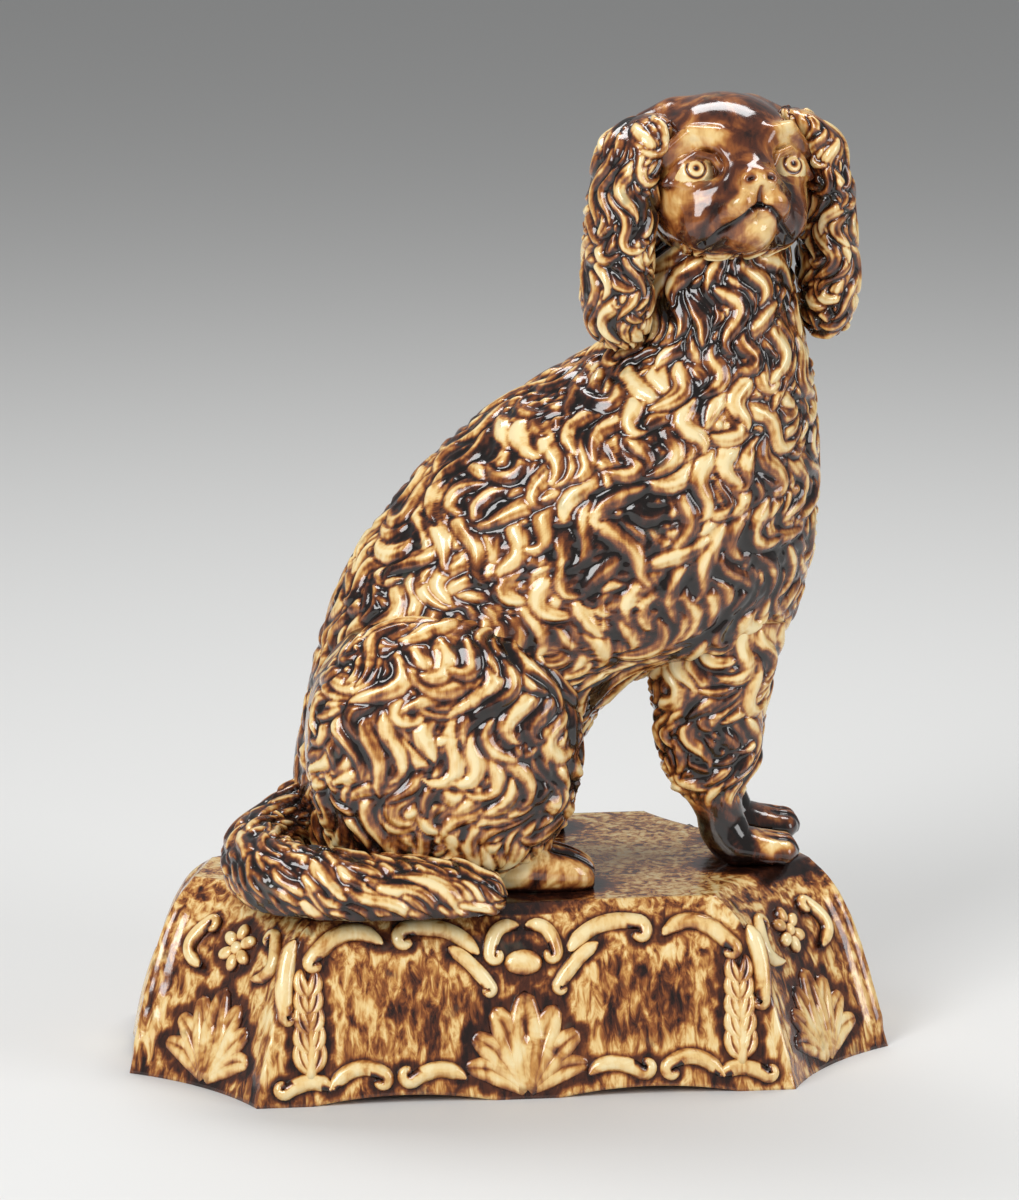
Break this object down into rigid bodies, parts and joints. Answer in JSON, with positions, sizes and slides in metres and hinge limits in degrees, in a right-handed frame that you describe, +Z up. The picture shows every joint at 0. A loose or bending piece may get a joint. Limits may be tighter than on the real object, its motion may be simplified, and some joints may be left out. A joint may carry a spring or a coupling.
{
  "type": "pottery dog figure",
  "caption": "Seated curly-coated spaniel in mottled brown and cream glazed pottery, head turned to the viewer, on a hollow plinth with canted corners and moulded scrolls.",
  "frame": {"origin": "middle of the plinth's foot, on the surface it stands on", "axes": "+Z up, +X the way the dog's chest points, -Y the side its face is turned to"},
  "size_m": [0.216, 0.1374, 0.2709],
  "materials": {
    "plinth_glaze": "gloss",
    "fur_glaze": "gloss",
    "face_glaze": "gloss",
    "sprig_glaze": "gloss"
  },
  "bodies": {
    "root": {"plinth_shell": "plinth_glaze", "body_right_half": "fur_glaze", "body_left_half": "fur_glaze", "right_ear": "fur_glaze", "left_ear": "fur_glaze", "right_foreleg": "fur_glaze", "left_foreleg": "fur_glaze", "right_haunch": "fur_glaze", "left_haunch": "fur_glaze", "right_hind_paw": "fur_glaze", "left_hind_paw": "fur_glaze", "tail": "fur_glaze", "head_face": "face_glaze", "head_back": "face_glaze", "centre_leaves": "sprig_glaze", "centre_cabochons": "sprig_glaze", "hood_scrolls": "sprig_glaze", "arch_scrolls": "sprig_glaze", "foot_scrolls": "sprig_glaze", "side_fronds": "sprig_glaze", "corner_leaves": "sprig_glaze", "corner_flowers": "sprig_glaze", "corner_scrolls": "sprig_glaze", "end_leaves": "sprig_glaze"}
  },
  "joints": []
}
